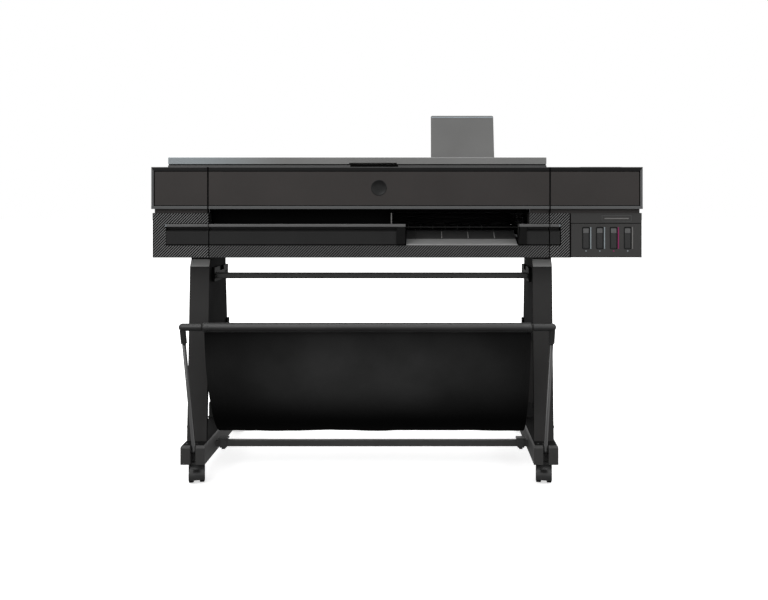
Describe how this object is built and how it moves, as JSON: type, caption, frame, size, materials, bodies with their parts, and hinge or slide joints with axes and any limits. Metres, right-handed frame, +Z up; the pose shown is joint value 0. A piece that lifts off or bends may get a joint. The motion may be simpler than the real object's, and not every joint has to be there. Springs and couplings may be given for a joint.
{
  "type": "large format plotter",
  "caption": "Wide-format plotter on a wheeled A-frame stand, with a fabric media basket, hinged lid, sheet feeder and ink door.",
  "frame": {"origin": "on the floor under the middle of the whole object", "axes": "+X along the media width to the right seen from the front, +Y to the rear, +Z up"},
  "size_m": [1.413, 0.744, 1.0979],
  "materials": {
    "stand_metal": "fine satin powder coat",
    "stand_plastic": "matte",
    "bracket_grey": "matte",
    "caster_plastic": "satin moulded",
    "wheel_rubber": "matte tread",
    "brake_plastic": "matte",
    "basket_fabric": "woven, matte",
    "base_plastic": "matte",
    "frame_steel": "zinc plated sheet",
    "fascia_plastic": "ribbed, matte",
    "band_plastic": "fine grain",
    "trim_metal": "brushed",
    "badge_plastic": "satin",
    "deck_plastic": "fine grain",
    "lid_plastic": "fine grain",
    "guide_plastic": "satin",
    "ramp_plastic": "satin",
    "ink_plastic": "fine grain",
    "window_clear": "clear smoked",
    "cartridge_plastic": "moulded",
    "roller_rubber": "ground",
    "wheel_steel": "plated",
    "carriage_plastic": "moulded",
    "spindle_plastic": "moulded",
    "panel_gloss": "gloss",
    "button_plastic": "satin",
    "inlet_plastic": "moulded"
  },
  "bodies": {
    "printer": {"foot_left": "stand_metal", "foot_right": "stand_metal", "leg_left": "stand_metal", "leg_right": "stand_metal", "upper_crossbar": "stand_metal", "lower_crossbar": "stand_metal", "basket_rear_tube": "stand_metal", "crossbar_clamps": "stand_plastic", "tube_brackets": "stand_plastic", "post_sockets": "bracket_grey", "basket_sling": "basket_fabric", "end_frames": "frame_steel", "carriage_rail": "frame_steel", "base_pan": "base_plastic", "fascia_left": "fascia_plastic", "fascia_center": "fascia_plastic", "fascia_right": "fascia_plastic", "rear_panel": "fascia_plastic", "end_cover_left": "band_plastic", "end_cover_right": "band_plastic", "front_panel": "band_plastic", "band_trim": "trim_metal", "blank_badges": "badge_plastic", "top_deck": "deck_plastic", "output_guide_left": "guide_plastic", "output_guide_right": "guide_plastic", "output_ramp": "ramp_plastic", "platen": "ramp_plastic", "slot_shutter": "ramp_plastic", "service_station": "ramp_plastic", "ink_housing": "ink_plastic", "ink_cartridges": "cartridge_plastic", "control_panel": "panel_gloss", "power_inlet": "inlet_plastic"},
    "print_cover": {"print_cover": "lid_plastic"},
    "sheet_support": {"sheet_support": "lid_plastic"},
    "sheet_guide_left": {"sheet_guide_left": "lid_plastic"},
    "sheet_guide_right": {"sheet_guide_right": "lid_plastic"},
    "ink_door": {"ink_door": "ink_plastic", "ink_windows": "window_clear"},
    "roll_cover": {"roll_cover": "fascia_plastic"},
    "basket_frame": {"basket_bar": "stand_metal", "basket_elbows": "stand_plastic", "basket_arms": "stand_metal"},
    "carriage": {"carriage": "carriage_plastic"},
    "feed_roller": {"feed_roller": "roller_rubber"},
    "pinch_rollers": {"pinch_rollers": "roller_rubber"},
    "exit_rollers": {"exit_rollers": "wheel_steel"},
    "media_spindle": {"media_spindle": "spindle_plastic"},
    "power_button": {"power_button": "button_plastic"},
    "brake_left": {"brake_lever_left": "brake_plastic"},
    "caster_front_left": {"caster_hood_front_left": "caster_plastic"},
    "wheels_front_left": {"caster_wheels_front_left": "wheel_rubber"},
    "caster_rear_left": {"caster_hood_rear_left": "caster_plastic"},
    "wheels_rear_left": {"caster_wheels_rear_left": "wheel_rubber"},
    "brake_right": {"brake_lever_right": "brake_plastic"},
    "caster_front_right": {"caster_hood_front_right": "caster_plastic"},
    "wheels_front_right": {"caster_wheels_front_right": "wheel_rubber"},
    "caster_rear_right": {"caster_hood_rear_right": "caster_plastic"},
    "wheels_rear_right": {"caster_wheels_rear_right": "wheel_rubber"}
  },
  "joints": [
    {"name": "print_cover_hinge", "type": "hinge", "parent": "printer", "child": "print_cover", "pos_m": [-0.1176, -0.024, 0.93], "axis": [-1, 0, 0], "range_deg": [0, 95]},
    {"name": "sheet_support_fold", "type": "hinge", "parent": "printer", "child": "sheet_support", "pos_m": [0.203, 0.03, 0.928], "axis": [-1, 0, 0], "range_deg": [0, 70]},
    {"name": "sheet_guide_left_slide", "type": "slide", "parent": "printer", "child": "sheet_guide_left", "axis": [1, 0, 0], "range_m": [0, 0.058]},
    {"name": "sheet_guide_right_slide", "type": "slide", "parent": "printer", "child": "sheet_guide_right", "axis": [1, 0, 0], "range_m": [-0.058, 0]},
    {"name": "ink_door_hinge", "type": "hinge", "parent": "printer", "child": "ink_door", "pos_m": [0.6016, -0.258, 0.662], "axis": [1, 0, 0], "range_deg": [0, 85]},
    {"name": "roll_cover_hinge", "type": "hinge", "parent": "printer", "child": "roll_cover", "pos_m": [-0.082, 0.319, 0.8995], "axis": [1, 0, 0], "range_deg": [0, 85]},
    {"name": "basket_swing", "type": "hinge", "parent": "printer", "child": "basket_frame", "pos_m": [-0.0797, -0.256, 0.095], "axis": [-1, 0, 0], "range_deg": [0, 20], "deforming": ["basket_sling"]},
    {"name": "carriage_slide", "type": "slide", "parent": "printer", "child": "carriage", "axis": [-1, 0, 0], "range_m": [0, 1.09]},
    {"name": "feed_roller_spin", "type": "hinge", "parent": "printer", "child": "feed_roller", "pos_m": [-0.082, 0.009, 0.723], "axis": [1, 0, 0], "continuous": true},
    {"name": "pinch_rollers_spin", "type": "hinge", "parent": "printer", "child": "pinch_rollers", "pos_m": [-0.082, 0.009, 0.7413], "axis": [1, 0, 0], "continuous": true},
    {"name": "exit_rollers_spin", "type": "hinge", "parent": "printer", "child": "exit_rollers", "pos_m": [-0.082, -0.158, 0.7434], "axis": [1, 0, 0], "continuous": true},
    {"name": "media_spindle_spin", "type": "hinge", "parent": "printer", "child": "media_spindle", "pos_m": [-0.082, 0.204, 0.79], "axis": [1, 0, 0], "continuous": true},
    {"name": "power_button_press", "type": "slide", "parent": "printer", "child": "power_button", "axis": [0, 0, -1], "range_m": [0, 0.002], "stiffness_N_per_m": 400, "springref_m": -0.0005},
    {"name": "caster_front_left_swivel", "type": "hinge", "parent": "printer", "child": "caster_front_left", "pos_m": [-0.5887, -0.224, 0.06], "axis": [0, 0, 1], "continuous": true},
    {"name": "wheels_front_left_roll", "type": "hinge", "parent": "caster_front_left", "child": "wheels_front_left", "pos_m": [-0.58483, -0.23952, 0.025], "axis": [0.9703, 0.2419, 0], "continuous": true},
    {"name": "caster_rear_left_swivel", "type": "hinge", "parent": "printer", "child": "caster_rear_left", "pos_m": [-0.5887, 0.344, 0.06], "axis": [0, 0, 1], "continuous": true},
    {"name": "wheels_rear_left_roll", "type": "hinge", "parent": "caster_rear_left", "child": "wheels_rear_left", "pos_m": [-0.58483, 0.32848, 0.025], "axis": [0.9703, 0.2419, 0], "continuous": true},
    {"name": "brake_left_press", "type": "hinge", "parent": "caster_front_left", "child": "brake_left", "pos_m": [-0.57791, -0.26726, 0.0415], "axis": [0.9703, 0.2419, 0], "range_deg": [0, 20]},
    {"name": "caster_front_right_swivel", "type": "hinge", "parent": "printer", "child": "caster_front_right", "pos_m": [0.4293, -0.224, 0.06], "axis": [0, 0, 1], "continuous": true},
    {"name": "wheels_front_right_roll", "type": "hinge", "parent": "caster_front_right", "child": "wheels_front_right", "pos_m": [0.42707, -0.23984, 0.025], "axis": [0.9903, -0.1392, 0], "continuous": true},
    {"name": "caster_rear_right_swivel", "type": "hinge", "parent": "printer", "child": "caster_rear_right", "pos_m": [0.4293, 0.344, 0.06], "axis": [0, 0, 1], "continuous": true},
    {"name": "wheels_rear_right_roll", "type": "hinge", "parent": "caster_rear_right", "child": "wheels_rear_right", "pos_m": [0.42707, 0.32816, 0.025], "axis": [0.9903, -0.1392, 0], "continuous": true},
    {"name": "brake_right_press", "type": "hinge", "parent": "caster_front_right", "child": "brake_right", "pos_m": [0.4231, -0.26815, 0.0415], "axis": [0.9903, -0.1392, 0], "range_deg": [0, 20]}
  ],
  "couplings": [
    {"joint": "sheet_guide_right_slide", "follows": "sheet_guide_left_slide", "ratio": -1},
    {"joint": "pinch_rollers_spin", "follows": "feed_roller_spin", "ratio": -2},
    {"joint": "exit_rollers_spin", "follows": "feed_roller_spin", "ratio": -1.5}
  ]
}
